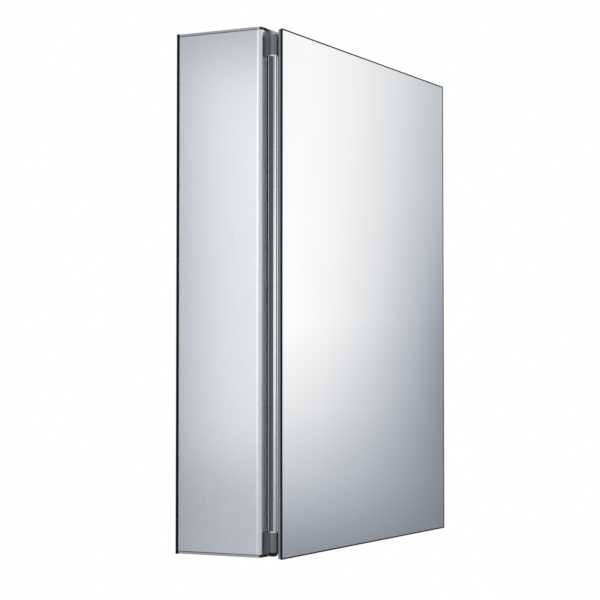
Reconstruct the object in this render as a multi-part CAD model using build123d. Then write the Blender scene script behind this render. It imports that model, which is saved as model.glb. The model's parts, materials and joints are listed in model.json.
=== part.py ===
from build123d import *
import os

# Surface-mounted medicine cabinet with one mirrored door, in millimetres.
# +X is to the right seen from the front, +Z is up, the front faces -Y and the wall is the plane Y = 0.
# The origin is the centre of the back face. The door is shown closed and hinges on the left.

# Driving sizes of the carcass
CARCASS_W = 550.0
CARCASS_H = 700.0
CARCASS_D = 130.0
CORNER_R = 6.5
WALL = 1.6
FLANGE_W = 16.5
LIP_D = 14.0
REAR_FLANGE_W = 22.0
PLATE_T = 3.0
PLATE_EDGE = 0.4
SEAL_T = 1.0
SEAL_W = 15.0
SEAL_INSET = 0.6

# Screw ports that run up inside the side profiles
PORT_R = 4.0
PORT_BORE_R = 1.6
PORT_STANDOFF = 2.6
FRONT_PORT_BACK = 22.0
REAR_PORT_OUT = 12.0

# Face rails across the front opening
RAIL_LIP_D = 24.0
RAIL_FLANGE_D = 18.0
RAIL_SCREW_PITCH = 170.0

# Back of the cabinet
PANEL_T = 3.0
GASKET_W = 8.0
GASKET_GAP = 0.3
BACK_MIRROR_T = 3.0
WALL_HOLE_R = 3.25
WALL_HOLE_DX = 400.0
WALL_HOLE_DZ = 560.0
GROMMET_BORE_R = 4.2
GROMMET_R = 6.8
GROMMET_FLANGE_R = 9.5
GROMMET_FLANGE_T = 1.2
RIVET_INSET = 10.0
RIVET_PITCH = 210.0
RIVET = (2.9, 1.4, 1.6)
RIVET_HOLE_L = 6.2

# Inner liners
LINER_T = 1.5
SIDE_LINER_LAP = 4.5
LINER_GAP = 0.3

# Shelves and their pins
SHELF_T = 5.0
SHELF_SIDE_GAP = 0.3
SHELF_EDGE = 0.8
SHELF_FRONT_GAP = 4.0
SHELF_BACK_GAP = 4.4
PIN_HOLE_R = 2.5
PIN_PITCH = 32.0
PIN_STEPS = 7
SHELF_STEPS = 5
PIN_ROW_IN = 20.0
PIN_PLUG_R = 2.4
PIN_PLUG_L = 6.0
PIN_FLANGE_R = 4.0
PIN_FLANGE_T = 1.2
PIN_LEDGE_L = 9.5
PIN_LEDGE_W = 8.0
PIN_LEDGE_T = 2.5
PAD_T = 0.8
PAD_INSET = 0.8

# Driving sizes of the door, which is as high as the carcass
DOOR_SET_IN = 14.85
DOOR_OVERHANG = 8.45
DOOR_DROP = 2.5
GLASS_T = 3.0
BACKING_T = 3.3
BACKING_INSET = 0.5
TRIM_W = 1.5
TRIM_HINGE_W = 0.8
TRIM_LATCH_W = 3.0
FRAME_W = 18.0
FRAME_D = 16.0
FRAME_WALL = 1.6
FRAME_GAP = 1.7
FRAME_INSET = 8.0
LATCH_SET_IN = 7.0
MITRE_GAP = 0.1
INNER_MIRROR_T = 3.0
INNER_MIRROR_GAP = 0.3
KEY_LEG = 42.0
KEY_CLEAR = 0.2
KEY_SCREW_IN = 30.0

# Hinge
AXIS_OUT = 2.5
AXIS_BEHIND = 6.0
KNUCKLE_CLEAR = 0.3
KNUCKLE_H = 27.0
KNUCKLE_INSET = 8.0
BARREL_R = 5.0
STILE_WEB_T = 4.0
PIN_R = 2.0
PIN_SEAT_CLEAR = 0.05
PIN_HEAD_R = 3.6
PIN_HEAD_T = 1.4
PIN_REACH = 16.0
BUSH_R = 3.0
BUSH_RUN = 0.06
BUSH_SEAT_CLEAR = 0.05
BUSH_L = 12.0
BUSH_FLANGE_T = 0.6
END_PLAY = 0.1
ARM_T = 3.0
ARM_TAIL_D = 12.0
ARM_CLEAR = 0.55
ARM_NOSE_DROP = 1.5
ARM_FACE_GAP = 0.2
ARM_END_GAP = 0.3
ARM_SCREW_BACK = 5.5
ARM_SCREW_IN = 8.0

# Magnetic catch and bumpers
CATCH_W = 11.0
CATCH_D = 18.0
CATCH_H = 44.0
CATCH_SCREW_IN = 6.0
CATCH_SCREW_BACK = 7.0
MAGNET_W = 7.0
MAGNET_H = 20.0
MAGNET_D = 6.0
MAGNET_PROUD = 0.4
MAGNET_CLEAR = 0.1
STRIKE_W = 6.8
STRIKE_H = 36.0
STRIKE_T = 1.0
STRIKE_IN = 0.6
BUMPER_R = 4.0
BUMPER_GAP = 0.3
BUMPER_SPACING = 460.0

# Countersunk screws: head radius, shank radius and head depth
PLATE_SCREW = (3.2, 1.5, 1.7)
PLATE_SCREW_L = 14.0
ARM_SCREW = (3.4, 1.8, 1.8)
ARM_SCREW_L = 8.0
CATCH_SCREW = (2.6, 1.3, 1.5)
CATCH_SCREW_L = 15.5
FRAME_SCREW = (2.2, 1.1, 1.2)
FRAME_SCREW_L = 8.0
STRIKE_SCREW_L = 5.0
STRIKE_SCREW = (1.7, 0.9, 0.8)
STRIKE_SCREW_IN = 5.0
SCREW_CLEAR = 0.1
RECESS_W = 0.8
RECESS_SHARE = 0.7

# Planes of the carcass
HALF_W = CARCASS_W / 2
HALF_H = CARCASS_H / 2
FRONT_Y = -CARCASS_D
PROFILE_Z = HALF_H - PLATE_T - SEAL_T
FLANGE_X = HALF_W - FLANGE_W
PORT_X = HALF_W - WALL - PORT_STANDOFF - PORT_R
FRONT_PORT_Y = FRONT_Y + FRONT_PORT_BACK
REAR_PORT_Y = -REAR_PORT_OUT
RAIL_Z = PROFILE_Z - FLANGE_W
REAR_FLANGE_Y = -PANEL_T - WALL
BACK_MIRROR_Y = REAR_FLANGE_Y - BACK_MIRROR_T
LINER_X = FLANGE_X + WALL
LINER_Z = RAIL_Z + WALL

# Planes of the door
DOOR_X0 = DOOR_SET_IN - HALF_W
DOOR_X1 = HALF_W + DOOR_OVERHANG
HALF_DOOR_H = HALF_H
FRAME_BACK_Y = FRONT_Y - FRAME_GAP
FRAME_FRONT_Y = FRAME_BACK_Y - FRAME_D
GLASS_BACK_Y = FRAME_FRONT_Y - BACKING_T
DOOR_FRONT_Y = GLASS_BACK_Y - GLASS_T
AXIS_X = DOOR_X0 - AXIS_OUT
AXIS_Y = FRAME_FRONT_Y + AXIS_BEHIND
KNUCKLE_R = AXIS_BEHIND - KNUCKLE_CLEAR
ARM_X0 = -FLANGE_X
ARM_X1 = ARM_X0 + ARM_T
FRAME_X0 = ARM_X1 + ARM_CLEAR
FRAME_X1 = HALF_W - LATCH_SET_IN
BARREL_GAP = BUSH_FLANGE_T + 2 * END_PLAY

# Planes of the shelves and the catch
SHELF_FRONT_Y = FRONT_Y + LIP_D + SHELF_FRONT_GAP
SHELF_BACK_Y = BACK_MIRROR_Y - SHELF_BACK_GAP
PIN_ROWS_Y = (SHELF_FRONT_Y + PIN_ROW_IN, SHELF_BACK_Y - PIN_ROW_IN)
SHELF_LIFT = PIN_LEDGE_T / 2 + PAD_T
CATCH_X0 = FLANGE_X - CATCH_W


def door_z(inset, side):
    """Height of a line a given inset from the door's top (side 1) or bottom (side -1) edge."""
    return side * (HALF_DOOR_H - inset) - DOOR_DROP


FRAME_Z1 = door_z(FRAME_INSET, 1)
FRAME_Z0 = door_z(FRAME_INSET, -1)


def block(x0, x1, y0, y1, z0, z1):
    """Solid box between two corners."""
    size = (abs(x1 - x0), abs(y1 - y0), abs(z1 - z0))
    return Pos((x0 + x1) / 2, (y0 + y1) / 2, (z0 + z1) / 2) * Box(*size)


def rect(x0, x1, y0, y1):
    """Flat rectangle between two corners, for sections."""
    return Pos((x0 + x1) / 2, (y0 + y1) / 2) * Rectangle(abs(x1 - x0), abs(y1 - y0))


def rod(base, direction, length, radius):
    """Round bar that starts at a point and runs along a direction."""
    bar = Cylinder(radius, length, align=(Align.CENTER, Align.CENTER, Align.MIN))
    return Plane(origin=base, z_dir=direction) * bar


def mirror_x(shape):
    return mirror(shape, about=Plane.YZ)


def mirror_z(shape):
    return mirror(shape, about=Plane.XY)


def screw(size, length):
    """Countersunk cross-head screw, its head flush with the local XY plane and pointing down."""
    head_r, shank_r, head_d = size
    head = Pos(0, 0, -head_d / 2) * Cone(shank_r, head_r, head_d)
    shank = Pos(0, 0, -length / 2) * Cylinder(shank_r, length)
    slot = Box(head_r * 2 * RECESS_SHARE, RECESS_W, head_d)
    return head + shank - slot - Rot(0, 0, 90) * slot


def screw_seat(size, length):
    """Countersunk hole that the screw of that size drops into."""
    head_r, shank_r, head_d = size
    return screw_blank(head_r + SCREW_CLEAR, shank_r + SCREW_CLEAR, head_d, length)


def screw_blank(head_r, shank_r, head_d, length):
    head = Pos(0, 0, -head_d / 2) * Cone(shank_r, head_r, head_d)
    shank = Pos(0, 0, -length / 2) * Cylinder(shank_r, length)
    return head + shank


def placed(points, direction, shape):
    """Copies of a shape, each with its local Z along a direction."""
    return [Plane(origin=point, z_dir=direction) * shape for point in points]


def plate_screw_points(side):
    """Heads on the top (1) or bottom (-1) plate: over the ports, then along the face rail."""
    z = side * HALF_H
    ports = [(x, y, z) for x in (-PORT_X, PORT_X) for y in (FRONT_PORT_Y, REAR_PORT_Y)]
    rail_y = FRONT_Y + RAIL_FLANGE_D / 2
    return ports + [(i * RAIL_SCREW_PITCH, rail_y, z) for i in (-1, 0, 1)]


def arm_screw_points(side):
    """Heads on the inner face of a hinge arm, going into the lip of the left side profile."""
    y = FRONT_Y + ARM_SCREW_BACK
    outer = door_z(KNUCKLE_INSET, side)
    inner = outer - side * KNUCKLE_H
    return [(ARM_X1, y, outer - side * ARM_SCREW_IN), (ARM_X1, y, inner + side * ARM_SCREW_IN)]


def catch_screw_points():
    z = CATCH_H / 2 - CATCH_SCREW_IN
    return [(CATCH_X0, FRONT_Y + CATCH_SCREW_BACK, s * z) for s in (-1, 1)]


def rivet_points():
    """Heads on the back panel, going into the rear flanges of the side profiles."""
    x = HALF_W - GASKET_W - RIVET_INSET
    return [(s * x, 0, i * RIVET_PITCH) for s in (-1, 1) for i in (-1, 0, 1)]


def wall_hole_points():
    return [(sx * WALL_HOLE_DX / 2, 0, sz * WALL_HOLE_DZ / 2) for sx in (-1, 1) for sz in (-1, 1)]


def corner_key_screw_points():
    """Two heads on the back of each corner of the door frame, one on each leg."""
    mid = FRAME_W / 2
    points = []
    for x, sx in ((FRAME_X0, 1), (FRAME_X1, -1)):
        for z, sz in ((FRAME_Z0, 1), (FRAME_Z1, -1)):
            points.append((x + sx * mid, FRAME_BACK_Y, z + sz * KEY_SCREW_IN))
            points.append((x + sx * KEY_SCREW_IN, FRAME_BACK_Y, z + sz * mid))
    return points


def strike_screw_points():
    x = strike_x0() + STRIKE_W / 2
    z = STRIKE_H / 2 - STRIKE_SCREW_IN
    return [(x, FRAME_BACK_Y + STRIKE_T, s * z) for s in (-1, 1)]


def strike_x0():
    return FRAME_X1 - FRAME_W + STRIKE_IN


# Carcass

def port(y):
    """Section of one screw port, tied to the outer wall by a web."""
    web = rect(-HALF_W + WALL / 2, -PORT_X, y - WALL / 2, y + WALL / 2)
    ring = Pos(-PORT_X, y) * Circle(PORT_R)
    return ring + web - Pos(-PORT_X, y) * Circle(PORT_BORE_R)


def side_section():
    """Section of the left side profile: rounded outer shell, front lip, rear flange and ports."""
    shell = rect(-HALF_W, -FLANGE_X, FRONT_Y, -PANEL_T)
    shell = fillet(shell.vertices().sort_by(Axis.X).sort_by(Axis.Y)[:1], CORNER_R)
    hollow = rect(-HALF_W + WALL, -FLANGE_X + WALL, FRONT_Y + WALL, REAR_FLANGE_Y)
    corner = [v for v in hollow.vertices() if v.X < -FLANGE_X - WALL and v.Y < REAR_FLANGE_Y - WALL]
    hollow = fillet(corner, CORNER_R - WALL)
    lip = rect(-LINER_X, -FLANGE_X, FRONT_Y, FRONT_Y + LIP_D)
    rear = rect(-HALF_W, -HALF_W + REAR_FLANGE_W, REAR_FLANGE_Y, -PANEL_T)
    return shell - hollow + lip + rear + port(FRONT_PORT_Y) + port(REAR_PORT_Y)


def side_profile():
    body = Pos(0, 0, -PROFILE_Z) * extrude(side_section(), 2 * PROFILE_Z)
    for seat in placed(rivet_points(), (0, 1, 0), screw_seat(RIVET, RIVET_HOLE_L)):
        body -= seat
    return body


def left_side_profile():
    body = side_profile()
    for side in (-1, 1):
        for seat in placed(arm_screw_points(side), (1, 0, 0), screw_seat(ARM_SCREW, ARM_SCREW_L)):
            body -= seat
    return [body]


def right_side_profile():
    body = mirror_x(side_profile())
    for seat in placed(catch_screw_points(), (-1, 0, 0), screw_seat(CATCH_SCREW, CATCH_SCREW_L)):
        body -= seat
    return [body]


def plate_outline(inset):
    """Plan of the end plates, rounded at the two front corners."""
    outline = rect(-HALF_W + inset, HALF_W - inset, FRONT_Y + inset, -PANEL_T - inset)
    return fillet(outline.vertices().sort_by(Axis.Y)[:2], CORNER_R - inset)


def top_plate():
    plate = Pos(0, 0, HALF_H - PLATE_T) * extrude(plate_outline(0), PLATE_T)
    plate = chamfer(plate.faces().sort_by(Axis.Z)[-1].edges(), PLATE_EDGE)
    for seat in placed(plate_screw_points(1), (0, 0, 1), screw_seat(PLATE_SCREW, PLATE_SCREW_L)):
        plate -= seat
    return [plate]


def top_seal():
    """Thin seal under the top plate, cut into two side strips and a front strip."""
    sheet = Pos(0, 0, PROFILE_Z) * extrude(plate_outline(SEAL_INSET), SEAL_T)
    for seat in placed(plate_screw_points(1), (0, 0, 1), screw_seat(PLATE_SCREW, PLATE_SCREW_L)):
        sheet -= seat
    z0 = PROFILE_Z
    z1 = PROFILE_Z + SEAL_T
    inner_x = HALF_W - SEAL_W
    left = sheet & block(-HALF_W, -inner_x, FRONT_Y, 0, z0, z1)
    right = sheet & block(inner_x, HALF_W, FRONT_Y, 0, z0, z1)
    front = sheet & block(-inner_x, inner_x, FRONT_Y, FRONT_Y + SEAL_W, z0, z1)
    return [left, front, right]


def top_face_rail():
    """Channel across the top of the opening, open to the back."""
    x0 = ARM_X1 + ARM_END_GAP
    x1 = FLANGE_X
    face = block(x0, x1, FRONT_Y, FRONT_Y + WALL, RAIL_Z, PROFILE_Z)
    lip = block(x0, x1, FRONT_Y, FRONT_Y + RAIL_LIP_D, RAIL_Z, RAIL_Z + WALL)
    flange = block(x0, x1, FRONT_Y, FRONT_Y + RAIL_FLANGE_D, PROFILE_Z - WALL, PROFILE_Z)
    rail = face + lip + flange
    for seat in placed(plate_screw_points(1), (0, 0, 1), screw_seat(PLATE_SCREW, PLATE_SCREW_L)):
        rail -= seat
    return [rail]


def plate_screws():
    shape = screw(PLATE_SCREW, PLATE_SCREW_L)
    top = placed(plate_screw_points(1), (0, 0, 1), shape)
    bottom = placed(plate_screw_points(-1), (0, 0, -1), shape)
    return top + bottom


def left_side_liner():
    """Flat liner behind the front lip, drilled with two rows of shelf-pin holes."""
    front_y = FRONT_Y + LIP_D - SIDE_LINER_LAP
    liner = block(-LINER_X - LINER_T, -LINER_X, front_y, BACK_MIRROR_Y, -LINER_Z, LINER_Z)
    for y in PIN_ROWS_Y:
        for step in range(-PIN_STEPS, PIN_STEPS + 1):
            liner -= rod((-LINER_X - LINER_T, y, step * PIN_PITCH), (1, 0, 0), LINER_T, PIN_HOLE_R)
    return [liner]


def right_side_liner():
    return [mirror_x(left_side_liner()[0])]


def top_liner():
    half = LINER_X + LINER_T
    front_y = FRONT_Y + LIP_D + LINER_GAP
    return [block(-half, half, front_y, BACK_MIRROR_Y, LINER_Z, LINER_Z + LINER_T)]


def back_panel():
    half_x = HALF_W - GASKET_W - GASKET_GAP
    half_z = HALF_H - GASKET_W - GASKET_GAP
    panel = block(-half_x, half_x, -PANEL_T, 0, -half_z, half_z)
    for point in wall_hole_points():
        panel -= rod(point, (0, -1, 0), PANEL_T, WALL_HOLE_R)
    for seat in placed(rivet_points(), (0, 1, 0), screw_seat(RIVET, RIVET_HOLE_L)):
        panel -= seat
    return [panel]


def panel_rivets():
    """Flush rivets through the panel and the flange, ending level with the flange's front."""
    return placed(rivet_points(), (0, 1, 0), screw_blank(*RIVET, PANEL_T + WALL))


def wall_gasket():
    """Soft strip around the back edge: two uprights with a strip between them at each end."""
    inner_x = HALF_W - GASKET_W
    inner_z = HALF_H - GASKET_W
    strips = []
    for s in (-1, 1):
        strips.append(block(s * HALF_W, s * inner_x, -PANEL_T, 0, -HALF_H, HALF_H))
        strips.append(block(-inner_x, inner_x, -PANEL_T, 0, s * inner_z, s * HALF_H))
    return strips


def back_mirror():
    """Mirror inside the cabinet, drilled for the wall screws' grommets."""
    half = LINER_X + LINER_T
    top = LINER_Z + LINER_T
    glass = block(-half, half, BACK_MIRROR_Y, REAR_FLANGE_Y, -top, top)
    for x, y, z in wall_hole_points():
        glass -= rod((x, REAR_FLANGE_Y, z), (0, -1, 0), BACK_MIRROR_T, GROMMET_R + SCREW_CLEAR)
    return [glass]


def hole_grommets():
    """Flanged rings that line the mirror's holes and reach back to the panel."""
    rings = []
    for x, y, z in wall_hole_points():
        length = GROMMET_FLANGE_T - PANEL_T - BACK_MIRROR_Y
        sleeve = rod((x, -PANEL_T, z), (0, -1, 0), length, GROMMET_R)
        flange = rod((x, BACK_MIRROR_Y, z), (0, -1, 0), GROMMET_FLANGE_T, GROMMET_FLANGE_R)
        bore = rod((x, -PANEL_T, z), (0, -1, 0), length, GROMMET_BORE_R)
        rings.append(sleeve + flange - bore)
    return rings


# Shelves

def shelf_heights():
    """Pin height of each shelf, from the lowest."""
    return [i * SHELF_STEPS * PIN_PITCH for i in (-1, 0, 1)]


def shelf(level):
    half = FLANGE_X - SHELF_SIDE_GAP
    z0 = shelf_heights()[level] + SHELF_LIFT
    glass = block(-half, half, SHELF_FRONT_Y, SHELF_BACK_Y, z0, z0 + SHELF_T)
    front = glass.edges().filter_by(Axis.X).sort_by(Axis.Y)[:2]
    return [chamfer(front, SHELF_EDGE)]


def shelf_pin(y, z):
    """Left-hand pin: plug in the liner, round flange against it and a ledge under the shelf."""
    plug = rod((-LINER_X - PIN_PLUG_L, y, z), (1, 0, 0), PIN_PLUG_L, PIN_PLUG_R)
    flange = rod((-LINER_X, y, z), (1, 0, 0), PIN_FLANGE_T, PIN_FLANGE_R)
    ledge_x = -LINER_X + PIN_FLANGE_T
    half_w = PIN_LEDGE_W / 2
    half_t = PIN_LEDGE_T / 2
    ledge = block(ledge_x, ledge_x + PIN_LEDGE_L, y - half_w, y + half_w, z - half_t, z + half_t)
    tip = ledge.edges().filter_by(Axis.Z).sort_by(Axis.X)[-2:]
    return plug + flange + fillet(tip, half_w - PAD_INSET)


def shelf_pad(y, z):
    x0 = -LINER_X + PIN_FLANGE_T + PAD_INSET
    x1 = -LINER_X + PIN_FLANGE_T + PIN_LEDGE_L - PAD_INSET
    half_w = PIN_LEDGE_W / 2 - PAD_INSET
    z0 = z + PIN_LEDGE_T / 2
    pad = block(x0, x1, y - half_w, y + half_w, z0, z0 + PAD_T)
    return fillet(pad.edges().filter_by(Axis.Z).sort_by(Axis.X)[-2:], half_w - PAD_INSET)


def both_sides(shapes):
    return shapes + [mirror_x(shape) for shape in shapes]


def shelf_pins(level):
    z = shelf_heights()[level]
    return both_sides([shelf_pin(y, z) for y in PIN_ROWS_Y])


def shelf_pads():
    return both_sides([shelf_pad(y, z) for z in shelf_heights() for y in PIN_ROWS_Y])


# Hinge

def arm_outline(side):
    """Side view of a hinge arm, in Y and Z. An S-curve sweeps from the knuckle up to the end plate."""
    knuckle_z = door_z(KNUCKLE_INSET, side)
    inner_z = knuckle_z - side * KNUCKLE_H
    tail_y = FRONT_Y + ARM_TAIL_D
    tail_z = side * (PROFILE_Z - ARM_END_GAP)
    nose_y = FRONT_Y - ARM_FACE_GAP
    nose_z = side * (HALF_H - ARM_NOSE_DROP)
    low = (AXIS_Y, knuckle_z)
    high = (nose_y, nose_z)
    middle = ((AXIS_Y + nose_y) / 2, (knuckle_z + nose_z) / 2)
    curve = TangentArc(low, middle, tangent=(1, 0)) + TangentArc(high, middle, tangent=(-1, 0))
    tail = [(nose_y, tail_z), (tail_y, tail_z), (tail_y, inner_z), (AXIS_Y, inner_z)]
    return Plane.YZ * make_face(curve + Polyline(high, *tail, low))


def hinge_bracket(side):
    """Fixed knuckle of the hinge with its arm, which is screwed to the lip of the left profile."""
    outer = door_z(KNUCKLE_INSET, side)
    inner = outer - side * KNUCKLE_H
    arm = Pos(ARM_X0, 0, 0) * extrude(arm_outline(side), ARM_T, dir=(1, 0, 0))
    knuckle = rod((AXIS_X, AXIS_Y, min(outer, inner)), (0, 0, 1), KNUCKLE_H, KNUCKLE_R)
    gusset = block(AXIS_X, ARM_X1, AXIS_Y, AXIS_Y + KNUCKLE_R, inner, outer)
    bracket = arm + knuckle + gusset
    bore_r = PIN_R + PIN_SEAT_CLEAR
    bracket -= rod((AXIS_X, AXIS_Y, min(outer, inner)), (0, 0, 1), KNUCKLE_H, bore_r)
    for seat in placed(arm_screw_points(side), (1, 0, 0), screw_seat(ARM_SCREW, ARM_SCREW_L)):
        bracket -= seat
    return [bracket]


def hinge_bracket_screws():
    points = arm_screw_points(-1) + arm_screw_points(1)
    return placed(points, (1, 0, 0), screw(ARM_SCREW, ARM_SCREW_L))


def hinge_pins():
    """Headed pins through the knuckles into the stile's barrel."""
    pins = []
    for side in (-1, 1):
        outer = door_z(KNUCKLE_INSET, side)
        inward = (0, 0, -side)
        shank = rod((AXIS_X, AXIS_Y, outer), inward, KNUCKLE_H + PIN_REACH, PIN_R)
        head = rod((AXIS_X, AXIS_Y, outer), (0, 0, side), PIN_HEAD_T, PIN_HEAD_R)
        pins.append(shank + head)
    return pins


def barrel_end(side):
    """Height at which the stile's barrel stops, short of the fixed knuckle."""
    return door_z(KNUCKLE_INSET + KNUCKLE_H + BARREL_GAP, side)


def hinge_bushes():
    """Flanged bushes in the ends of the barrel, which turn on the pins."""
    bushes = []
    for side in (-1, 1):
        end = barrel_end(side)
        sleeve = rod((AXIS_X, AXIS_Y, end), (0, 0, -side), BUSH_L, BUSH_R)
        flange = rod((AXIS_X, AXIS_Y, end), (0, 0, side), BUSH_FLANGE_T + END_PLAY, BARREL_R)
        bore = Pos(AXIS_X, AXIS_Y, end) * Cylinder(PIN_R + BUSH_RUN, 2 * (BUSH_L + BUSH_FLANGE_T))
        bushes.append(sleeve + flange - bore)
    return bushes


# Catch

def magnet_catch():
    """Housing on the lip of the right profile, with a pocket for the magnet in its front."""
    half = CATCH_H / 2
    housing = block(CATCH_X0, FLANGE_X, FRONT_Y, FRONT_Y + CATCH_D, -half, half)
    housing = chamfer(housing.edges().filter_by(Axis.X).sort_by(Axis.Y)[-2:], WALL)
    mid = CATCH_X0 + CATCH_W / 2
    half_w = MAGNET_W / 2 + MAGNET_CLEAR
    half_h = MAGNET_H / 2 + MAGNET_CLEAR
    depth = MAGNET_D - MAGNET_PROUD
    housing -= block(mid - half_w, mid + half_w, FRONT_Y, FRONT_Y + depth, -half_h, half_h)
    for seat in placed(catch_screw_points(), (-1, 0, 0), screw_seat(CATCH_SCREW, CATCH_SCREW_L)):
        housing -= seat
    return [housing]


def catch_magnet():
    mid = CATCH_X0 + CATCH_W / 2
    y0 = FRONT_Y - MAGNET_PROUD
    half_w = MAGNET_W / 2
    half_h = MAGNET_H / 2
    return [block(mid - half_w, mid + half_w, y0, y0 + MAGNET_D, -half_h, half_h)]


def catch_screws():
    return placed(catch_screw_points(), (-1, 0, 0), screw(CATCH_SCREW, CATCH_SCREW_L))


def door_bumpers():
    """Soft discs on the right front flange that the closed door comes to rest by."""
    x = (FLANGE_X + FRAME_X1) / 2
    length = FRAME_GAP - BUMPER_GAP
    points = [(x, FRONT_Y, s * BUMPER_SPACING / 2) for s in (-1, 1)]
    discs = [rod(point, (0, -1, 0), length, BUMPER_R) for point in points]
    return [fillet(disc.edges().sort_by(Axis.Y)[0], length / 2) for disc in discs]


# Door

def door_mirror():
    x0 = DOOR_X0 + TRIM_HINGE_W
    x1 = DOOR_X1 - TRIM_LATCH_W
    return [block(x0, x1, DOOR_FRONT_Y, GLASS_BACK_Y, door_z(TRIM_W, -1), door_z(TRIM_W, 1))]


def mirror_edge_trim():
    """Dark edging around the mirror: two uprights with a strip between them at each end."""
    z0 = door_z(0, -1)
    z1 = door_z(0, 1)
    hinge_x = DOOR_X0 + TRIM_HINGE_W
    latch_x = DOOR_X1 - TRIM_LATCH_W
    strips = [block(DOOR_X0, hinge_x, DOOR_FRONT_Y, GLASS_BACK_Y, z0, z1)]
    strips.append(block(latch_x, DOOR_X1, DOOR_FRONT_Y, GLASS_BACK_Y, z0, z1))
    for side in (-1, 1):
        ends = (door_z(0, side), door_z(TRIM_W, side))
        strips.append(block(hinge_x, latch_x, DOOR_FRONT_Y, GLASS_BACK_Y, *ends))
    return strips


def door_backing_panel():
    x0 = DOOR_X0 + BACKING_INSET
    x1 = DOOR_X1 - BACKING_INSET
    z0 = door_z(BACKING_INSET, -1)
    z1 = door_z(BACKING_INSET, 1)
    return [block(x0, x1, GLASS_BACK_Y, FRAME_FRONT_Y, z0, z1)]


def frame_bar(along_z, outer, sign, start, end):
    """Hollow square bar of the door frame, mitred at both ends.

    outer is the place of the bar's outer face and sign points from it into the frame.
    """
    inner = outer + sign * FRAME_W
    void0 = outer + sign * FRAME_WALL
    void1 = inner - sign * FRAME_WALL
    depth = (FRAME_FRONT_Y, FRAME_BACK_Y)
    void_depth = (FRAME_FRONT_Y + FRAME_WALL, FRAME_BACK_Y - FRAME_WALL)
    if along_z:
        bar = block(outer, inner, *depth, start, end) - block(void0, void1, *void_depth, start, end)
    else:
        bar = block(start, end, *depth, outer, inner) - block(start, end, *void_depth, void0, void1)
    a = start + MITRE_GAP
    b = end - MITRE_GAP
    corners = [(outer, a), (outer, b), (inner, b - FRAME_W), (inner, a + FRAME_W)]
    if not along_z:
        corners = [(v, u) for u, v in corners]
    points = [(x, FRAME_FRONT_Y, z) for x, z in corners]
    wedge = extrude(make_face(Polyline(*points, close=True)), FRAME_D, dir=(0, 1, 0))
    return bar & wedge


def drill_frame(bar):
    """Cuts the seats of the corner-key screws that fall on a bar."""
    for seat in placed(corner_key_screw_points(), (0, 1, 0), screw_seat(FRAME_SCREW, FRAME_SCREW_L)):
        bar -= seat
    return bar


def hinge_stile():
    """Left bar of the frame with the round barrel that turns between the fixed knuckles."""
    bar = drill_frame(frame_bar(True, FRAME_X0, 1, FRAME_Z0, FRAME_Z1))
    z0 = barrel_end(-1)
    z1 = barrel_end(1)
    half_web = STILE_WEB_T / 2
    web = block(AXIS_X, FRAME_X0 + FRAME_WALL, AXIS_Y - half_web, AXIS_Y + half_web, z0, z1)
    barrel = rod((AXIS_X, AXIS_Y, z0), (0, 0, 1), z1 - z0, BARREL_R)
    stile = bar + web + barrel
    bore_r = BUSH_R + BUSH_SEAT_CLEAR
    stile -= rod((AXIS_X, AXIS_Y, z0), (0, 0, 1), z1 - z0, bore_r)
    return [stile]


def latch_stile():
    bar = drill_frame(frame_bar(True, FRAME_X1, -1, FRAME_Z0, FRAME_Z1))
    for seat in placed(strike_screw_points(), (0, 1, 0), screw_seat(STRIKE_SCREW, STRIKE_SCREW_L)):
        bar -= seat
    return [bar]


def door_rail(side):
    outer = door_z(FRAME_INSET, side)
    return [drill_frame(frame_bar(False, outer, -side, FRAME_X0, FRAME_X1))]


def corner_keys():
    """L-shaped blocks inside the mitred corners of the door frame."""
    inset = FRAME_WALL + KEY_CLEAR
    width = FRAME_W - 2 * inset
    y0 = FRAME_FRONT_Y + inset
    y1 = FRAME_BACK_Y - inset
    keys = []
    for x, sx in ((FRAME_X0, 1), (FRAME_X1, -1)):
        for z, sz in ((FRAME_Z0, 1), (FRAME_Z1, -1)):
            u = x + sx * inset
            v = z + sz * inset
            key = block(u, u + sx * width, y0, y1, v, v + sz * KEY_LEG)
            key += block(u, u + sx * KEY_LEG, y0, y1, v, v + sz * width)
            keys.append(key)
    for seat in placed(corner_key_screw_points(), (0, 1, 0), screw_seat(FRAME_SCREW, FRAME_SCREW_L)):
        keys = [key - seat for key in keys]
    return keys


def corner_key_screws():
    return placed(corner_key_screw_points(), (0, 1, 0), screw(FRAME_SCREW, FRAME_SCREW_L))


def inner_door_mirror():
    inset = FRAME_W + INNER_MIRROR_GAP
    x0 = FRAME_X0 + inset
    x1 = FRAME_X1 - inset
    y1 = FRAME_FRONT_Y + INNER_MIRROR_T
    return [block(x0, x1, FRAME_FRONT_Y, y1, FRAME_Z0 + inset, FRAME_Z1 - inset)]


def strike_plate():
    """Steel plate on the back of the latch stile, facing the magnet."""
    half = STRIKE_H / 2
    x0 = strike_x0()
    plate = block(x0, x0 + STRIKE_W, FRAME_BACK_Y, FRAME_BACK_Y + STRIKE_T, -half, half)
    for seat in placed(strike_screw_points(), (0, 1, 0), screw_seat(STRIKE_SCREW, STRIKE_SCREW_L)):
        plate -= seat
    return [plate]


def strike_screws():
    return placed(strike_screw_points(), (0, 1, 0), screw(STRIKE_SCREW, STRIKE_SCREW_L))


def turned_over(shapes):
    return [mirror_z(shape) for shape in shapes]


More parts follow.
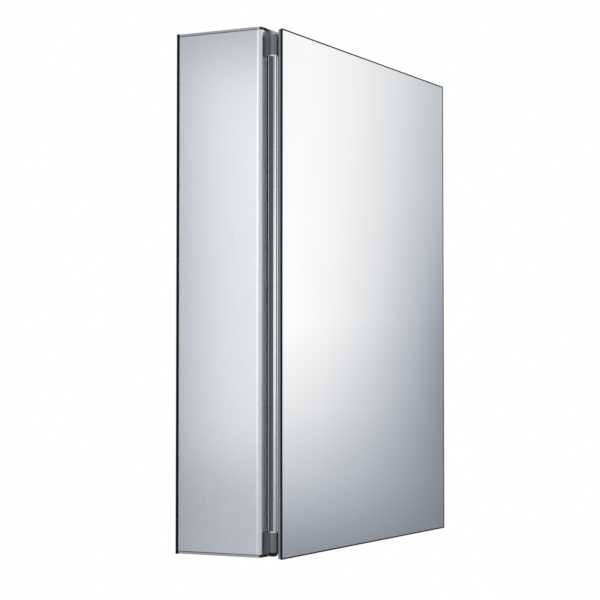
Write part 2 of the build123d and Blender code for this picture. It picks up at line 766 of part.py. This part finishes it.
NODES = {
    "left_side_profile": left_side_profile(),
    "right_side_profile": right_side_profile(),
    "top_plate": top_plate(),
    "bottom_plate": turned_over(top_plate()),
    "top_seal": top_seal(),
    "bottom_seal": turned_over(top_seal()),
    "top_face_rail": top_face_rail(),
    "bottom_face_rail": turned_over(top_face_rail()),
    "plate_screws": plate_screws(),
    "left_side_liner": left_side_liner(),
    "right_side_liner": right_side_liner(),
    "top_liner": top_liner(),
    "bottom_liner": turned_over(top_liner()),
    "back_panel": back_panel(),
    "panel_rivets": panel_rivets(),
    "wall_gasket": wall_gasket(),
    "back_mirror": back_mirror(),
    "hole_grommets": hole_grommets(),
    "lower_shelf": shelf(0),
    "middle_shelf": shelf(1),
    "upper_shelf": shelf(2),
    "lower_shelf_pins": shelf_pins(0),
    "middle_shelf_pins": shelf_pins(1),
    "upper_shelf_pins": shelf_pins(2),
    "shelf_pads": shelf_pads(),
    "top_hinge_bracket": hinge_bracket(1),
    "bottom_hinge_bracket": hinge_bracket(-1),
    "hinge_bracket_screws": hinge_bracket_screws(),
    "hinge_pins": hinge_pins(),
    "magnet_catch": magnet_catch(),
    "catch_magnet": catch_magnet(),
    "catch_screws": catch_screws(),
    "door_bumpers": door_bumpers(),
    "door_mirror": door_mirror(),
    "mirror_edge_trim": mirror_edge_trim(),
    "door_backing_panel": door_backing_panel(),
    "hinge_stile": hinge_stile(),
    "latch_stile": latch_stile(),
    "door_top_rail": door_rail(1),
    "door_bottom_rail": door_rail(-1),
    "corner_keys": corner_keys(),
    "corner_key_screws": corner_key_screws(),
    "inner_door_mirror": inner_door_mirror(),
    "hinge_bushes": hinge_bushes(),
    "strike_plate": strike_plate(),
    "strike_screws": strike_screws(),
}

os.makedirs("parts", exist_ok=True)
for name, solids in NODES.items():
    shape = solids[0] if len(solids) == 1 else Compound(solids)
    export_step(shape, f"parts/{name}.step")
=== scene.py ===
import json
import math
import bpy
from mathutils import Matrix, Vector


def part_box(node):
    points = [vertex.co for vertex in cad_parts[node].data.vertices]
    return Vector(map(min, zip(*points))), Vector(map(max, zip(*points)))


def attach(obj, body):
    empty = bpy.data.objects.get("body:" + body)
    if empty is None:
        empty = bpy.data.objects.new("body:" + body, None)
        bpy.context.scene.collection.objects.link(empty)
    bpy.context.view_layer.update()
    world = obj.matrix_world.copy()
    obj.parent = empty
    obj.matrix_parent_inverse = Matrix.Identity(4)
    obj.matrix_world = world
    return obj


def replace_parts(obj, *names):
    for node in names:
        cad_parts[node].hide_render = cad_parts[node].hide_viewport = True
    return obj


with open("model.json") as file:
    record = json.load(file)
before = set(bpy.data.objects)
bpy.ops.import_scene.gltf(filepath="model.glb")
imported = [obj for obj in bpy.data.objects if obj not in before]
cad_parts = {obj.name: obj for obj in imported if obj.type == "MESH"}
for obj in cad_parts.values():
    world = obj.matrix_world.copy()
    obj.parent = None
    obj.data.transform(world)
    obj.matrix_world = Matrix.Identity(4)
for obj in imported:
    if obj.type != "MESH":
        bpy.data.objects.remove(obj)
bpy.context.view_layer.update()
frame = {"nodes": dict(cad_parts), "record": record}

# Surface-mounted medicine cabinet in a white studio. Metres, the same frame as the model:
# the mirror faces -Y, the wall is the plane Y = 0 and the origin is the centre of the back.

NODES = frame["nodes"]
MM = 0.001

# Camera, at the photograph's viewpoint
CAMERA_PLACE = (-2.32295, -1.2552, -0.1082)
CAMERA_YAW = math.radians(62.475)
CAMERA_PITCH = math.radians(2.346)
CAMERA_LENS = 106.74

# Mirror pane
GLASS_CHAMFER = 0.5 * MM

# Hinge axis of the door, painted shade on its barrel and a light strip beside it. Angles turn from +X
# towards +Y, in degrees.
HINGE_X = -262.65 * MM
HINGE_Y = -141.7 * MM
ARC_STEPS = 12
SHADE_STRIP_END_GAP = 2.0 * MM
SHADE_STRIP_ANGLES = (100, 212)
SHADE_STRIP_INNER_R = 5.02 * MM
SHADE_STRIP_OUTER_R = 6.0 * MM
SHADE_STRIP_TAPER = 0.7 * MM
EDGE_STRIP_ANGLES = (106, 130)
EDGE_STRIP_OUTER_R = 6.85 * MM

# End plates: their seals, and black strips of painted shade and dark reflection on their front edges, split
# where the hinge arms pass
PLATE_SEALS = ("top_seal", "bottom_seal")
PLATE_HALF_W = 275.0 * MM
PLATE_FRONT_Y = -130.0 * MM
PLATE_CORNER_R = 6.5 * MM
PLATE_SHADE_STRIP_T = 0.35 * MM
PLATE_SHADE_STRIP_Z = (346.9 * MM, 349.5 * MM)
SHADE_STRIP_CORNER_START = 215
SHADE_STRIP_CORNER_SWEEP = 55
SHADE_STRIP_CORNER_STEPS = 6
ARM_GAP_X = (-259.0 * MM, -225.0 * MM)

# Lip of the wall gasket, and a black cap of painted shade under the bottom hinge knuckle
GASKET_LIP_T = 0.4 * MM
GASKET_LIP_D = 4.1 * MM
SHADE_CAP_R = 5.9 * MM
SHADE_CAP_Z = (-343.0 * MM, -348.4 * MM)
SHADE_CAP_SIDES = 48
SHADE_CAP_DOME = SHADE_CAP_R * 0.45
SHADE_CAP_DOME_STEPS = 6
EDGE_REACH = 0.1 * MM

# Floor of the studio
FLOOR_Z = -1.25
FLOOR_R = 3.4
FLOOR_COLOUR = (0.86, 0.86, 0.86)

# Brightness of the studio by height, where 0.25 is the horizon, in the open part and the shaded part
OPEN_HEIGHTS = ((0.05, 0.33), (0.13, 0.63), (0.21, 0.86), (0.31, 1.04), (0.6, 0.98))
SHADED_HEIGHTS = ((0.05, 0.23), (0.13, 0.27), (0.3, 0.24), (0.45, 0.36), (0.62, 0.36), (1.0, 0.8))

# Share of the shaded part by turn around the studio, from -X through -Y, +X and +Y back to -X
SHADED_TURNS = (
    (0.0, 0.0), (0.4224, 0.0), (0.4275, 0.19), (0.4328, 0.56), (0.4371, 1.0),
    (0.56, 1.0), (0.72, 0.6), (0.85, 1.0), (0.935, 1.0), (0.97, 0.0))
SHADE_LEAN = 0.017

# Soft panel on the left: its brightness beyond its edges, the rise to its middle, the heights between which
# it starts, ends and gives way to the open part, and the turns between which it starts and ends
PANEL_EDGE_LEVEL = 0.37
PANEL_RISE = 0.68
PANEL_BOTTOM = (-0.11, 0.02)
PANEL_TOP = (0.05, 0.17)
PANEL_FADE = (0.2, 0.34)
PANEL_START = (0.05, 0.12)
PANEL_END = (0.18, 0.28)

# Brightness well below the horizon, close to the floor's, and how far down it starts and is full
LOW_LEVEL = 0.77
LOW_DEPTHS = (0.14, 0.32)

# Tint of dim and of full light, and the brightness between which it changes
TINT_LEVELS = (0.25, 0.9)
DIM_TINT = (0.89, 0.975, 1.135, 1.0)
FULL_TINT = (1.0, 1.0, 1.0, 1.0)

# Lamps beside the cabinet's left side: name, place, aim, size and power
LAMPS = (
    ("side_softbox", (-0.855, 0.058, 0.082), (-0.32, -0.235, 0.082), (0.47, 0.665), 0.69),
    ("side_fill", (-0.855, 0.058, -0.41), (-0.32, -0.235, -0.41), (0.47, 0.32), 0.125),
)


class Signal:
    """A shader value. Arithmetic on it adds Math nodes to its material."""

    def __init__(self, finish, socket):
        self.finish = finish
        self.socket = socket

    def _math(self, operation, first, second):
        sockets = {0: first, 1: second}
        return self.finish.node("ShaderNodeMath", {"operation": operation}, sockets)

    def __add__(self, other):
        return self._math("ADD", self, other)

    __radd__ = __add__

    def __sub__(self, other):
        return self._math("SUBTRACT", self, other)

    def __rsub__(self, other):
        return self._math("SUBTRACT", other, self)

    def __mul__(self, other):
        return self._math("MULTIPLY", self, other)

    __rmul__ = __mul__


class Finish:
    """A node tree with one shader. node() adds any node and returns one of its outputs."""

    def __init__(self, owner, shader, output):
        self.owner = owner
        owner.use_nodes = True
        self.tree = owner.node_tree
        self.shader = self.tree.nodes[shader]
        self.output = self.tree.nodes[output]

    def node(self, kind, settings=None, sockets=None, output=0):
        made = self.tree.nodes.new(kind)
        for name, value in (settings or {}).items():
            if name == "stops":
                self.set_ramp(made.color_ramp, value)
            else:
                setattr(made, name, value)
        for name, value in (sockets or {}).items():
            self.feed(made.inputs[name], value)
        return Signal(self, made.outputs[output])

    def set_ramp(self, ramp, stops):
        while len(ramp.elements) < len(stops):
            ramp.elements.new(1.0)
        for element, (place, colour) in zip(ramp.elements, stops):
            element.position = place
            element.color = colour

    def feed(self, socket, value):
        if isinstance(value, Signal):
            self.tree.links.new(value.socket, socket)
        else:
            socket.default_value = value

    def set(self, **sockets):
        for name, value in sockets.items():
            self.feed(self.shader.inputs[name.replace("_", " ")], value)
        return self

    def place(self):
        """Object coordinates, which stay with the piece."""
        return self.node("ShaderNodeTexCoord", output="Object")

    def axes(self, vector):
        split = self.node("ShaderNodeSeparateXYZ", sockets={0: vector}).socket.node
        return [Signal(self, split.outputs[i]) for i in range(3)]

    def noise(self, scale, detail=2.0, roughness=0.5, stretch=(1, 1, 1)):
        """Noise between 0 and 1. stretch lengthens the pattern along each axis."""
        squeeze = tuple(1 / s for s in stretch)
        where = self.node("ShaderNodeMapping", sockets={"Vector": self.place(), "Scale": squeeze})
        sockets = {"Vector": where, "Scale": scale, "Detail": detail, "Roughness": roughness}
        return self.node("ShaderNodeTexNoise", sockets=sockets)

    def smooth(self, value, low, high):
        """0 below low, 1 above high and an eased step between."""
        settings = {"interpolation_type": "SMOOTHSTEP"}
        sockets = {"Value": value, "From Min": low, "From Max": high}
        return self.node("ShaderNodeMapRange", settings, sockets)

    def fall(self, value, low, high):
        """1 below low, 0 above high and an eased step between."""
        return self.smooth(value * -1, -high, -low)

    def ramp(self, value, stops):
        """Brightness along a value, from (place, brightness) stops. Brightness may pass 1."""
        top = max(level for _, level in stops)
        colours = [(place, rgb(*[level / top] * 3)) for place, level in stops]
        shade = self.node("ShaderNodeValToRGB", {"stops": colours}, {"Fac": value})
        return self.axes(shade)[0] * top

    def mix(self, share, first, second):
        """Colour from first, at share 0, to second, at share 1."""
        sockets = {0: share, 6: first, 7: second}
        return self.node("ShaderNodeMix", {"data_type": "RGBA"}, sockets, output=2)

    def bump(self, height, strength, distance):
        sockets = {"Height": height, "Strength": strength, "Distance": distance}
        return self.node("ShaderNodeBump", sockets=sockets)


def new_finish(name):
    return Finish(bpy.data.materials.new(name), "Principled BSDF", "Material Output")


def rgb(r, g, b):
    return (r, g, b, 1.0)


# Finishes

def brushed_metal(name, light, dark, roughness, along=(1, 1, 60), grain=900, bump=0.06):
    """Brushed metal: fine streaks along one direction over a faint large variation."""
    made = new_finish(name)
    streaks = made.noise(grain, detail=3.0, roughness=0.6, stretch=along)
    clouds = made.noise(9)
    tone = made.mix(streaks * 0.75 + clouds * 0.25, dark, light)
    made.set(Base_Color=tone, Metallic=1.0, Roughness=roughness - 0.04 + streaks * 0.08)
    made.set(Normal=made.bump(streaks, bump, 0.0002))
    return made


def mirror_glass():
    """Silvered glass: a clean mirror on its faces, dark green at its cut edges."""
    made = new_finish("mirror_glass")
    normal = made.node("ShaderNodeTexCoord", output="Normal")
    across = made.axes(normal)[1]
    face = made.smooth(across * across, 0.3, 0.45)
    haze = made.noise(14)
    silver = made.mix(haze, rgb(0.925, 0.94, 0.95), rgb(0.945, 0.955, 0.965))
    made.set(Base_Color=made.mix(face, rgb(0.03, 0.05, 0.045), silver))
    made.set(Metallic=face, Roughness=0.18 - face * 0.175)
    return made


def clear_glass():
    made = new_finish("clear_glass")
    normal = made.node("ShaderNodeTexCoord", output="Normal")
    up = made.axes(normal)[2]
    face = made.smooth(up * up, 0.7, 0.9)
    tint = made.mix(face, rgb(0.42, 0.68, 0.6), rgb(0.93, 0.97, 0.96))
    made.set(Base_Color=tint, Roughness=0.1 - face * 0.09)
    made.set(Transmission_Weight=1.0, IOR=1.5)
    return made


def cast_metal():
    """Die-cast zinc: grainy, slightly uneven."""
    made = new_finish("cast_zinc")
    grain = made.noise(1600, detail=3.0, roughness=0.6)
    patches = made.noise(120)
    made.set(Base_Color=made.mix(patches, rgb(0.165, 0.17, 0.19), rgb(0.215, 0.225, 0.25)))
    made.set(Metallic=1.0, Roughness=0.3 + grain * 0.16)
    made.set(Normal=made.bump(grain, 0.12, 0.0002))
    return made


def plated_steel():
    made = new_finish("steel")
    turning = made.noise(1400, stretch=(1, 1, 6))
    made.set(Base_Color=made.mix(turning, rgb(0.52, 0.53, 0.55), rgb(0.68, 0.69, 0.71)))
    made.set(Metallic=1.0, Roughness=0.2 + turning * 0.14)
    made.set(Normal=made.bump(turning, 0.05, 0.0001))
    return made


def dull_solid(name, low, high, roughness, scale, bump, shine=0.5):
    """Moulded, coated or rubbery surface with a fine texture of its own."""
    made = new_finish(name)
    grain = made.noise(scale, detail=3.0, roughness=0.6)
    patches = made.noise(30)
    made.set(Base_Color=made.mix(grain * 0.5 + patches * 0.5, low, high))
    made.set(Roughness=roughness - 0.05 + grain * 0.1, Specular_IOR_Level=shine)
    made.set(Normal=made.bump(grain, bump, 0.0003))
    return made


def clear_silicone():
    made = dull_solid("clear_silicone", rgb(0.82, 0.84, 0.86), rgb(0.9, 0.92, 0.94),
                      roughness=0.3, scale=400, bump=0.04)
    return made.set(Transmission_Weight=0.7, IOR=1.41)


def make_finishes():
    finishes = {
        "brushed_aluminium": brushed_metal("brushed_aluminium", rgb(0.80, 0.815, 0.84),
                                           rgb(0.76, 0.775, 0.80), 0.28, bump=0.012),
        "end_plate_aluminium": brushed_metal("end_plate_aluminium", rgb(0.52, 0.53, 0.55),
                                             rgb(0.44, 0.45, 0.47), 0.36, (60, 1, 1)),
        "satin_aluminium": brushed_metal("satin_aluminium", rgb(0.78, 0.79, 0.81),
                                         rgb(0.68, 0.69, 0.71), 0.42),
        "bright_aluminium": brushed_metal("bright_aluminium", rgb(0.91, 0.92, 0.94),
                                          rgb(0.86, 0.87, 0.89), 0.12, bump=0.02),
        "mirror_glass": mirror_glass(),
        "clear_glass": clear_glass(),
        "cast_zinc": cast_metal(),
        "steel": plated_steel(),
        "black_rubber": dull_solid("black_rubber", rgb(0.004, 0.004, 0.005), rgb(0.010, 0.010, 0.011),
                                   roughness=0.7, scale=900, bump=0.3, shine=0.1),
        "black_edging": dull_solid("black_edging", rgb(0.005, 0.005, 0.006), rgb(0.012, 0.012, 0.013),
                                   roughness=0.5, scale=700, bump=0.05, shine=0.12),
        "grey_panel": dull_solid("grey_panel", rgb(0.25, 0.26, 0.28), rgb(0.30, 0.31, 0.33),
                                 roughness=0.5, scale=500, bump=0.1, shine=0.3),
        "white_nylon": dull_solid("white_nylon", rgb(0.74, 0.74, 0.72), rgb(0.8, 0.8, 0.78),
                                  roughness=0.42, scale=600, bump=0.06),
        "clear_silicone": clear_silicone(),
        "magnet": dull_solid("magnet", rgb(0.08, 0.08, 0.085), rgb(0.12, 0.12, 0.125),
                             roughness=0.5, scale=800, bump=0.2),
        # Dark grey for the plates' seals, and for the painted shade on the hinge barrel
        "dark_seal_and_shade": dull_solid("dark_seal_and_shade", rgb(0.085, 0.085, 0.095), rgb(0.12, 0.12, 0.135),
                                roughness=0.5, scale=700, bump=0.1, shine=0.3),
    }
    return {name: made.owner for name, made in finishes.items()}


def dress_nodes(finishes):
    """Gives each node of the model the finish of its slot. The plates' seals are a greyer rubber."""
    for entry in frame["record"]["subparts"]:
        node = NODES[entry["node"]]
        finish = "dark_seal_and_shade" if node.name in PLATE_SEALS else entry["material_slot"]
        for slot in node.material_slots:
            slot.material = finishes[finish]


# Pieces

def start_edit():
    bpy.ops.object.mode_set(mode="EDIT")
    bpy.ops.mesh.select_all(action="SELECT")


def end_edit(shift=(0, 0, 0)):
    """Moves everything by shift and leaves edit mode."""
    bpy.ops.mesh.select_all(action="SELECT")
    bpy.ops.transform.translate(value=shift)
    bpy.ops.object.mode_set(mode="OBJECT")


def box_between(name, low, high):
    """Box between two corners, in metres, its object at the origin."""
    bpy.ops.object.select_all(action="DESELECT")
    bpy.ops.mesh.primitive_cube_add(size=1, location=(0, 0, 0))
    piece = bpy.context.object
    piece.name = name
    start_edit()
    bpy.ops.transform.resize(value=[h - l for l, h in zip(low, high)], center_override=(0, 0, 0))
    end_edit([(h + l) / 2 for l, h in zip(low, high)])
    return piece


def finish_piece(piece, body, material):
    piece.data.materials.clear()
    piece.data.materials.append(material)
    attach(piece, body)
    return piece


def bevel_low_edges(piece, axis, limit, width, segments):
    """Bevels the edges that lie wholly below a limit along one axis."""
    bpy.ops.object.mode_set(mode="EDIT")
    bpy.ops.mesh.select_mode(type="EDGE")
    bpy.ops.mesh.select_all(action="DESELECT")
    bpy.ops.object.mode_set(mode="OBJECT")
    for edge in piece.data.edges:
        ends = [piece.data.vertices[i].co[axis] for i in edge.vertices]
        edge.select = max(ends) < limit
    bpy.ops.object.mode_set(mode="EDIT")
    bpy.ops.mesh.bevel(offset=width, offset_type="OFFSET", segments=segments)
    bpy.ops.object.mode_set(mode="OBJECT")


def door_glass(finishes):
    """The mirror's pane with a narrow polished chamfer around its face."""
    low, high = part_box("door_mirror")
    pane = box_between("door_mirror_pane", low, high)
    bevel_low_edges(pane, 1, low[1] + EDGE_REACH, GLASS_CHAMFER, 1)
    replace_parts(finish_piece(pane, "door", finishes["mirror_glass"]), "door_mirror")


def profile_piece(name, points, z0, z1):
    """Upright bar: a closed outline of (x, y) points drawn vertex by vertex, then extruded."""
    bpy.ops.object.select_all(action="DESELECT")
    bpy.ops.mesh.primitive_plane_add(size=0.01, location=(0, 0, 0))
    piece = bpy.context.object
    piece.name = name
    start_edit()
    bpy.ops.mesh.select_mode(type="VERT")
    bpy.ops.mesh.merge(type="CENTER")
    bpy.ops.mesh.select_all(action="SELECT")
    bpy.ops.transform.translate(value=(*points[0], z0))
    for (x0, y0), (x1, y1) in zip(points, points[1:]):
        step = {"value": (x1 - x0, y1 - y0, 0)}
        bpy.ops.mesh.extrude_vertices_move(TRANSFORM_OT_translate=step)
    for _ in ("close", "fill"):
        bpy.ops.mesh.select_all(action="SELECT")
        bpy.ops.mesh.edge_face_add()
    bpy.ops.mesh.extrude_region_move(TRANSFORM_OT_translate={"value": (0, 0, z1 - z0)})
    bpy.ops.mesh.select_all(action="SELECT")
    bpy.ops.mesh.normals_make_consistent(inside=False)
    bpy.ops.object.mode_set(mode="OBJECT")
    return piece


def around_hinge(radius, degrees):
    angle = math.radians(degrees)
    return (HINGE_X + radius * math.cos(angle), HINGE_Y + radius * math.sin(angle))


def hinge_arc(name, turn, inner, outer, taper, low_z, high_z):
    """Bar with an arc-shaped section around the hinge axis, thinned towards its far end."""
    start, stop = turn
    angles = [start + (stop - start) * i / ARC_STEPS for i in range(ARC_STEPS + 1)]
    rim = [outer - taper * (i / ARC_STEPS) ** 2 for i in range(ARC_STEPS + 1)]
    points = [around_hinge(r, a) for r, a in zip(rim, angles)]
    points += [around_hinge(inner, a) for a in reversed(angles)]
    return profile_piece(name, points, low_z, high_z)


def hinge_shade_strip(finishes):
    """Painted shade: a dark strip along the hinge stile's barrel, on the side towards the carcass, and a
    satin metal strip beside it.
    """
    low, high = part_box("hinge_bushes")
    low_z = low[2] + SHADE_STRIP_END_GAP
    high_z = high[2] - SHADE_STRIP_END_GAP
    # Painted shade: the dark gap reflected on the barrel's flank towards the carcass
    barrel_shade = hinge_arc("hinge_shade_strip", SHADE_STRIP_ANGLES, SHADE_STRIP_INNER_R, SHADE_STRIP_OUTER_R, SHADE_STRIP_TAPER, low_z, high_z)
    finish_piece(barrel_shade, "door", finishes["dark_seal_and_shade"])
    edge = hinge_arc("hinge_edge_strip", EDGE_STRIP_ANGLES, SHADE_STRIP_OUTER_R, EDGE_STRIP_OUTER_R, 0.0,
                     low_z, high_z)
    finish_piece(edge, "door", finishes["satin_aluminium"])


def plate_shade_strips(finishes):
    """Black strips on the front edges of the end plates, painted shade and dark reflection, split where the
    hinge arms pass.
    """
    centre_x = PLATE_HALF_W - PLATE_CORNER_R
    centre_y = PLATE_FRONT_Y + PLATE_CORNER_R
    angles = [math.radians(SHADE_STRIP_CORNER_START + SHADE_STRIP_CORNER_SWEEP * i / SHADE_STRIP_CORNER_STEPS)
              for i in range(SHADE_STRIP_CORNER_STEPS + 1)]
    outer = PLATE_CORNER_R + PLATE_SHADE_STRIP_T
    rims = []
    for r in (outer, PLATE_CORNER_R):
        rims.append([(r * math.cos(a) - centre_x, centre_y + r * math.sin(a)) for a in angles])
    for name, side, stop in (("hinge_side", 1, ARM_GAP_X[0]), ("latch_side", -1, -ARM_GAP_X[1])):
        end = [(stop, PLATE_FRONT_Y - PLATE_SHADE_STRIP_T), (stop, PLATE_FRONT_Y)]
        outline = [(side * x, y) for x, y in rims[0] + end + rims[1][::-1]]
        low_z, high_z = PLATE_SHADE_STRIP_Z
        for level, z0, z1 in (("top", low_z, high_z), ("bottom", -high_z, -low_z)):
            # Black strip of painted shade and dark reflection along the plate's front edge
            edge_shade = profile_piece(f"{level}_plate_shade_strip_{name}", outline, z0, z1)
            finish_piece(edge_shade, "cabinet", finishes["black_rubber"])


def gasket_lip(finishes):
    """Thin lip of the wall gasket, which laps around the rear edge of the carcass."""
    low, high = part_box("wall_gasket")
    bpy.ops.object.select_all(action="DESELECT")
    bpy.ops.mesh.primitive_plane_add(size=1, location=(0, 0, 0))
    lip = bpy.context.object
    lip.name = "wall_gasket_lip"
    start_edit()
    bpy.ops.mesh.select_mode(type="FACE")
    bpy.ops.transform.rotate(value=math.radians(90), orient_axis="X", center_override=(0, 0, 0))
    size = (high[0] - low[0] + 2 * GASKET_LIP_T, 1, high[2] - low[2] + 2 * GASKET_LIP_T)
    bpy.ops.transform.resize(value=size, center_override=(0, 0, 0))
    bpy.ops.mesh.inset(thickness=GASKET_LIP_T)
    bpy.ops.mesh.delete(type="FACE")
    bpy.ops.mesh.select_all(action="SELECT")
    bpy.ops.mesh.extrude_region_move(TRANSFORM_OT_translate={"value": (0, -GASKET_LIP_D, 0)})
    bpy.ops.mesh.select_all(action="SELECT")
    bpy.ops.mesh.normals_make_consistent(inside=False)
    bpy.ops.object.mode_set(mode="OBJECT")
    finish_piece(lip, "cabinet", finishes["black_rubber"])


def knuckle_shade_cap(finishes):
    """Domed black cap over the end of the bottom hinge knuckle: painted shade and dark reflection."""
    top, bottom = SHADE_CAP_Z
    bpy.ops.object.select_all(action="DESELECT")
    bpy.ops.mesh.primitive_cylinder_add(vertices=SHADE_CAP_SIDES, radius=SHADE_CAP_R, depth=top - bottom,
                                        location=(0, 0, 0))
    cap = bpy.context.object
    cap.name = "bottom_knuckle_shade_cap"
    start_edit()
    end_edit((HINGE_X, HINGE_Y, (top + bottom) / 2))
    bevel_low_edges(cap, 2, bottom + EDGE_REACH, SHADE_CAP_DOME, SHADE_CAP_DOME_STEPS)
    # Black for the painted shade and dark reflection under the knuckle
    finish_piece(cap, "cabinet", finishes["black_edging"])


# Studio

def add_camera():
    data = bpy.data.cameras.new("camera")
    data.lens = CAMERA_LENS
    data.sensor_width = 36.0
    camera = bpy.data.objects.new("camera", data)
    flat = math.cos(CAMERA_PITCH)
    aim = Vector((flat * math.sin(CAMERA_YAW), flat * math.cos(CAMERA_YAW), math.sin(CAMERA_PITCH)))
    camera.location = CAMERA_PLACE
    camera.rotation_euler = aim.to_track_quat("-Z", "Y").to_euler()
    bpy.context.scene.collection.objects.link(camera)
    bpy.context.scene.camera = camera


def white_to_camera(made, shader):
    """Shows plain white where the camera looks straight at it, and the shader otherwise."""
    rays = made.node("ShaderNodeLightPath", output="Is Camera Ray")
    through = made.node("ShaderNodeLightPath", output="Is Transmission Ray")
    seen = made.node("ShaderNodeMath", {"operation": "MAXIMUM"}, {0: rays, 1: through})
    white = made.node("ShaderNodeEmission", sockets={"Color": rgb(1, 1, 1), "Strength": 1.0})
    mixed = made.node("ShaderNodeMixShader", sockets={0: seen, 1: shader, 2: white})
    made.feed(made.output.inputs[0], mixed)


def add_floor():
    bpy.ops.object.select_all(action="DESELECT")
    bpy.ops.mesh.primitive_circle_add(vertices=96, radius=FLOOR_R, fill_type="NGON",
                                      location=(0, 0, FLOOR_Z))
    floor = bpy.context.object
    floor.name = "floor"
    made = new_finish("floor")
    made.set(Base_Color=(*FLOOR_COLOUR, 1.0), Roughness=0.9)
    white_to_camera(made, Signal(made, made.shader.outputs[0]))
    floor.data.materials.append(made.owner)


def add_world():
    """White studio. It darkens to the right and just below the horizon, where the mirror looks."""
    world = bpy.data.worlds.new("studio")
    bpy.context.scene.world = world
    made = Finish(world, "Background", "World Output")
    direction = made.node("ShaderNodeTexCoord", output="Generated")
    x, y, z = made.axes(direction)
    turn = made.node("ShaderNodeMath", {"operation": "ARCTAN2"}, {0: y, 1: x}) * (0.5 / math.pi) + 0.5
    height = z * 2 + 0.25
    open_side = made.ramp(height, OPEN_HEIGHTS)
    panel_height = made.smooth(z, *PANEL_BOTTOM) * made.fall(z, *PANEL_TOP)
    panel = panel_height * PANEL_RISE + PANEL_EDGE_LEVEL
    left = made.smooth(turn, *PANEL_START) * made.fall(turn, *PANEL_END)
    near = open_side + (panel - open_side) * left * made.fall(z, *PANEL_FADE)
    far = made.ramp(height, SHADED_HEIGHTS)
    share = made.ramp(turn - z * SHADE_LEAN, SHADED_TURNS)
    level = near + (far - near) * share
    below = made.smooth(z * -1, *LOW_DEPTHS)
    bright = level + (LOW_LEVEL - level) * below
    tint = made.mix(made.smooth(bright, *TINT_LEVELS), DIM_TINT, FULL_TINT)
    made.set(Color=tint, Strength=bright)
    white_to_camera(made, Signal(made, made.shader.outputs[0]))


def add_lamp(name, place, aim, size, power):
    """Rectangular soft lamp that the camera doesn't see."""
    data = bpy.data.lights.new(name, "AREA")
    data.shape = "RECTANGLE"
    data.size, data.size_y = size
    data.energy = power
    lamp = bpy.data.objects.new(name, data)
    lamp.location = place
    lamp.rotation_euler = (Vector(aim) - Vector(place)).to_track_quat("-Z", "Y").to_euler()
    lamp.visible_camera = False
    bpy.context.scene.collection.objects.link(lamp)


def main():
    add_camera()
    add_world()
    add_floor()
    finishes = make_finishes()
    dress_nodes(finishes)
    door_glass(finishes)
    hinge_shade_strip(finishes)
    plate_shade_strips(finishes)
    gasket_lip(finishes)
    knuckle_shade_cap(finishes)
    for lamp in LAMPS:
        add_lamp(*lamp)
    bpy.context.scene.view_settings.view_transform = "Standard"


main()
